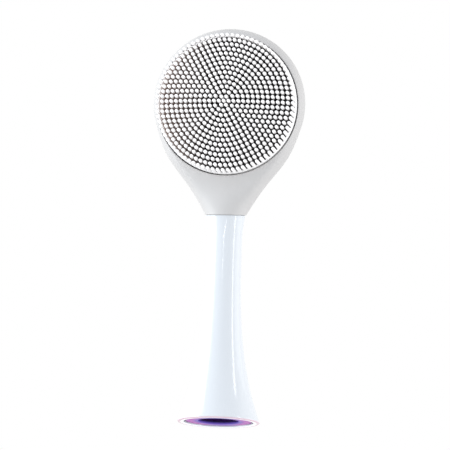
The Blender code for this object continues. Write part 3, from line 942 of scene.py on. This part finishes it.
    def lip_loops(self, front: list[Loop]) -> list[Loop]:
        """Return the rounded lip from the opening's wall out to the front skin."""
        depths = self.depths(0.0)
        border = self.border(0.0, self.hem_z)
        loops: list[Loop] = []
        for angle in spaced(0.0, self.lip_turn, self.lip_rows):
            turn = math.radians(angle)
            radius = self.opening_radius + self.lip * (1.0 - math.cos(turn))
            loop: Loop = []
            for x_end, z_end in border:
                away = math.hypot(x_end, z_end - self.pad_z)
                x = x_end / away * radius
                z = self.pad_z + (z_end - self.pad_z) / away * radius
                ahead, _ = depths(x, z)
                loop.append((x, -ahead + self.lip * (1.0 - math.sin(turn)), z))
            loops.append(loop)
        return loops + front

    def bottom_loop(self, front: Loop, rear: Loop) -> Loop:
        """Return the lower edge as one loop: its front half, then its rear half."""
        count = self.hem_columns
        return front[: count + 1] + list(reversed(rear[1:count]))

    def build(self) -> None:
        """Make and dress the cover."""
        floor_z = self.neck.seam_z + self.floor_rise
        start = self.opening_radius + self.lip
        front = self.skin_loops(0.0, self.hem_z, start, self.front_rows, True)
        rear = self.skin_loops(0.0, self.hem_z, 0.0, self.back_rows, False)
        inner_front = self.skin_loops(
            self.wall, floor_z, self.opening_radius, self.inner_front_rows, True
        )
        inner_rear = self.skin_loops(self.wall, floor_z, 0.0, self.inner_back_rows, False)
        maker = MeshMaker("silicone_cover")
        outer = self.lip_loops(front)
        maker.skin(list(reversed(outer)) + inner_front)
        maker.skin(rear)
        maker.skin(inner_rear)
        columns = 2 * self.hem_columns
        turns = [math.pi + 2.0 * math.pi * i / columns for i in range(columns)]
        hem = self.bottom_loop(front[-1], rear[-1])
        floor = self.bottom_loop(inner_front[-1], inner_rear[-1])
        bore = self.bore_radius
        bore_low = [(bore * math.cos(t), bore * math.sin(t), self.hem_z) for t in turns]
        bore_high = [(x, y, floor_z) for x, y, _ in bore_low]
        maker.skin([hem, bore_low, bore_high, floor])
        for vert in maker.shape.verts:
            vert.co = self.tilt_hem(tuple(vert.co))
        place_piece(maker.finish(self.sharp_angle), Body.HEAD, GREY_SILICONE, "head_cover")
        dress_node("head_core", CORE_PLASTIC)
        dress_node("carrier_plate", CORE_PLASTIC)


@dataclass
class BristlePad:
    """Domed silicone pad with its rings of round-tipped bristles."""

    base: float = 1.5 * MM
    dome: float = 2.2 * MM
    length: float = 3.9 * MM
    margin: float = 0.2 * MM
    edge: float = 0.3 * MM
    rings: int = 14
    per_ring: int = 6
    outer_margin: float = 0.37 * MM
    foot_radius: float = 0.395 * MM
    tip_radius: float = 0.37 * MM
    foot_flare: float = 0.06 * MM
    crown_share: float = 0.9
    crown_start: float = 0.5 * MM
    neck_share: float = 1.06
    crown_turn: float = 68.0
    edge_turn: float = 80.0
    sink: float = 0.08 * MM
    sides: int = 14
    segments: int = 160
    pad_sharp_angle: float = 50.0
    bristle_sharp_angle: float = 60.0

    def __post_init__(self) -> None:
        """Work out the pad's place from the frame."""
        low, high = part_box("bristle_pad")
        self.pad_radius = (high.x - low.x) / 2
        self.centre_z = (high.z + low.z) / 2
        self.face = -low.y - self.dome - self.length
        self.field_radius = self.pad_radius - self.margin
        self.pitch = (self.pad_radius - self.outer_margin) / self.rings

    def rise(self, distance: float) -> float:
        """Return how far the pad's face stands forward at a distance from its middle."""
        return self.face + self.dome * (1.0 - (distance / self.field_radius) ** 2)

    def stand(self, item: bpy.types.Object) -> None:
        """Turn a piece made about Z so that its +Z faces out through the bristles."""
        lift = Matrix.Translation((0.0, 0.0, self.centre_z))
        item.data.transform(lift @ Matrix.Rotation(math.radians(90.0), 4, "X"))

    def pad_outline(self) -> Outline:
        """Return the pad's closed outline: domed face, rounded edge and back."""
        edge = self.edge
        reach = self.field_radius - edge
        points = [(d, self.rise(d)) for d in spaced(0.0, reach, 24)]
        side = self.face - edge + self.dome * (1.0 - (reach / self.field_radius) ** 2)
        points += arc((self.pad_radius - edge, side), edge, self.edge_turn, 0.0, 6)
        back = self.face - self.base
        points += [(self.pad_radius, back)]
        points += [(d, self.rise(d) - self.base) for d in spaced(self.field_radius, 0.0, 12)]
        return points

    def bristle_profile(self) -> Outline:
        """Return one bristle's outline from its foot to its round tip."""
        foot, flare = self.foot_radius, self.foot_flare
        points = [(foot + flare, -self.sink), (foot + flare * 0.35, flare), (foot, 2.2 * flare)]
        crown_z = self.length - self.tip_radius * self.crown_share
        points += [(self.tip_radius * self.neck_share, crown_z - self.crown_start)]
        crown = arc((0.0, 0.0), 1.0, 0.0, self.crown_turn, 4)
        points += [
            (self.tip_radius * x, crown_z + self.tip_radius * self.crown_share * z) for x, z in crown
        ]
        return points + [(0.0, self.length)]

    def places(self) -> list[tuple[float, float]]:
        """Return the bristles' places in the pad's plane: one in the middle, then rings."""
        found = [(0.0, 0.0)]
        for ring in range(1, self.rings + 1):
            count = self.per_ring * ring
            for i in range(count):
                turn = 2.0 * math.pi * i / count
                found.append((ring * self.pitch * math.cos(turn), ring * self.pitch * math.sin(turn)))
        return found

    def bristles(self) -> bpy.types.Object:
        """Make all the bristles as closed bodies in one mesh."""
        profile = self.bristle_profile()
        maker = MeshMaker("bristles")
        turns = [2.0 * math.pi * i / self.sides for i in range(self.sides)]
        verts: list[Point] = []
        faces: list[tuple[int, ...]] = []
        for x, y in self.places():
            foot = self.rise(math.hypot(x, y))
            first = len(verts)
            for radius, height in profile[:-1]:
                verts += [
                    (x + radius * math.cos(t), y + radius * math.sin(t), foot + height) for t in turns
                ]
            verts.append((x, y, foot + profile[-1][1]))
            rows = len(profile) - 1
            faces.append(tuple(first + i for i in reversed(range(self.sides))))
            for row in range(rows):
                for i in range(self.sides):
                    j = (i + 1) % self.sides
                    low = first + row * self.sides
                    if row == rows - 1:
                        faces.append((low + i, low + j, len(verts) - 1))
                    else:
                        faces.append((low + i, low + j, low + self.sides + j, low + self.sides + i))
        maker.add(verts, faces)
        return maker.finish(self.bristle_sharp_angle)

    def build(self) -> None:
        """Make and dress the pad and its bristles."""
        maker = MeshMaker("pad_membrane")
        maker.turn(self.pad_outline(), self.segments)
        pad = maker.finish(self.pad_sharp_angle)
        bristles = self.bristles()
        for item, finish in ((pad, PAD_SILICONE), (bristles, WHITE_SILICONE)):
            self.stand(item)
            place_piece(item, Body.HEAD, finish, "bristle_pad")


# ------------------------------------------------------------------ studio
@dataclass
class Softbox:
    """A soft rectangular light aimed at the object."""

    name: str
    azimuth: float
    elevation: float
    width: float
    height: float
    power: float
    colour: Colour = (1.0, 1.0, 1.0)
    roll: float = 0.0
    distance: float = 0.9

    def build(self, target: Vector) -> None:
        """Make the light and aim it."""
        lamp = bpy.data.lights.new(self.name, "AREA")
        lamp.shape = "RECTANGLE"
        lamp.size, lamp.size_y = self.width, self.height
        lamp.energy = self.power
        lamp.color = self.colour
        item = bpy.data.objects.new(self.name, lamp)
        bpy.context.scene.collection.objects.link(item)
        item.location = target + direction(self.azimuth, self.elevation) * self.distance
        aim = (item.location - target).to_track_quat("Z", "Y").to_matrix()
        turn = Matrix.Rotation(math.radians(self.roll), 3, "Z")
        item.rotation_euler = (aim @ turn).to_euler()


LIGHTS = (
    Softbox("left_softbox", -72.0, 10.0, width=0.7, height=1.2, power=8.5, colour=(0.93, 0.97, 1.0)),
    Softbox("right_strip", 72.0, 0.0, width=0.13, height=1.2, power=2.4),
    Softbox("right_softbox", 108.0, -10.0, width=0.6, height=1.2, power=1.6),
    Softbox("neck_streak", 7.0, -1.0, width=0.05, height=0.40, power=0.6, roll=38.0),
)


@dataclass
class Studio:
    """Pale room, soft lights and the camera."""

    azimuth: float = 8.3
    elevation: float = -8.6
    distance: float = 2.5
    roll: float = 2.01
    view_width: float = 100.19 * MM
    aim: Point = (-0.08 * MM, 0.0, 44.44 * MM)
    sensor: float = 36.0
    floor_z: float = -2.6
    back_colour: Colour = (1.0, 1.0, 1.0)
    front_colour: Colour = (0.67, 0.71, 0.76)
    horizon: Band = (-0.55, 0.25)
    floor_tone: float = 0.9
    floor_roughness: float = 0.8
    floor_radii: Point = (1.0, 3.0, 8.0)
    floor_segments: int = 48
    target_z: float = 45.0 * MM
    clip: Band = (0.1, 20.0)

    def make_camera(self) -> None:
        """Make the camera, far off and a little below the object, with a long lens."""
        lens = bpy.data.cameras.new("camera")
        lens.sensor_width = self.sensor
        lens.lens = self.sensor * self.distance / self.view_width
        lens.clip_start, lens.clip_end = self.clip
        camera = bpy.data.objects.new("camera", lens)
        bpy.context.scene.collection.objects.link(camera)
        away = direction(self.azimuth, self.elevation)
        camera.location = Vector(self.aim) + away * self.distance
        look = away.to_track_quat("Z", "Y").to_matrix().to_4x4()
        turn = look @ Matrix.Rotation(math.radians(self.roll), 4, "Z")
        camera.rotation_euler = turn.to_euler()
        bpy.context.scene.camera = camera

    def make_world(self) -> None:
        """Make the pale room: white behind the object and a little darker in front."""
        world = bpy.data.worlds.new("pale_room")
        world.use_nodes = True
        graph = ShaderGraph(world.node_tree)
        towards = graph.node("ShaderNodeTexCoord", {}, {}).outputs["Generated"]
        _, depth, _ = graph.axes(towards)
        behind = depth.step(*self.horizon)
        background = world.node_tree.nodes["Background"]
        graph.feed(background.inputs["Color"], graph.mix(behind, self.front_colour, self.back_colour))
        background.inputs["Strength"].default_value = 1.0
        bpy.context.scene.world = world
        bpy.context.scene.view_settings.view_transform = "Standard"

    def make_floor(self) -> None:
        """Make the plain pale floor, well below the object."""
        maker = MeshMaker("floor")
        turns = spaced(0.0, 2.0 * math.pi, self.floor_segments + 1)[:-1]
        loops: list[Loop] = [[(0.0, 0.0, self.floor_z)]]
        for radius in self.floor_radii:
            loops.append([(radius * math.cos(t), radius * math.sin(t), self.floor_z) for t in turns])
        maker.skin(loops)
        floor = maker.finish()
        material = bpy.data.materials.new("pale_floor")
        material.use_nodes = True
        shader = material.node_tree.nodes["Principled BSDF"]
        shader.inputs["Base Color"].default_value = (*[self.floor_tone] * 3, 1.0)
        shader.inputs["Roughness"].default_value = self.floor_roughness
        floor.data.materials.append(material)

    def build(self) -> None:
        """Make the room, the lights and the camera."""
        self.make_world()
        self.make_floor()
        target = Vector((0.0, 0.0, self.target_z))
        for light in LIGHTS:
            light.build(target)
        self.make_camera()


def main() -> None:
    """Build the looks in order."""
    logging.basicConfig(level=logging.INFO, format="%(message)s")
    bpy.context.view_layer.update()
    neck = Neck()
    neck.build()
    ColourRing().build()
    HeadCover(neck).build()
    BristlePad().build()
    Studio().build()


if __name__ == "__main__":
    main()
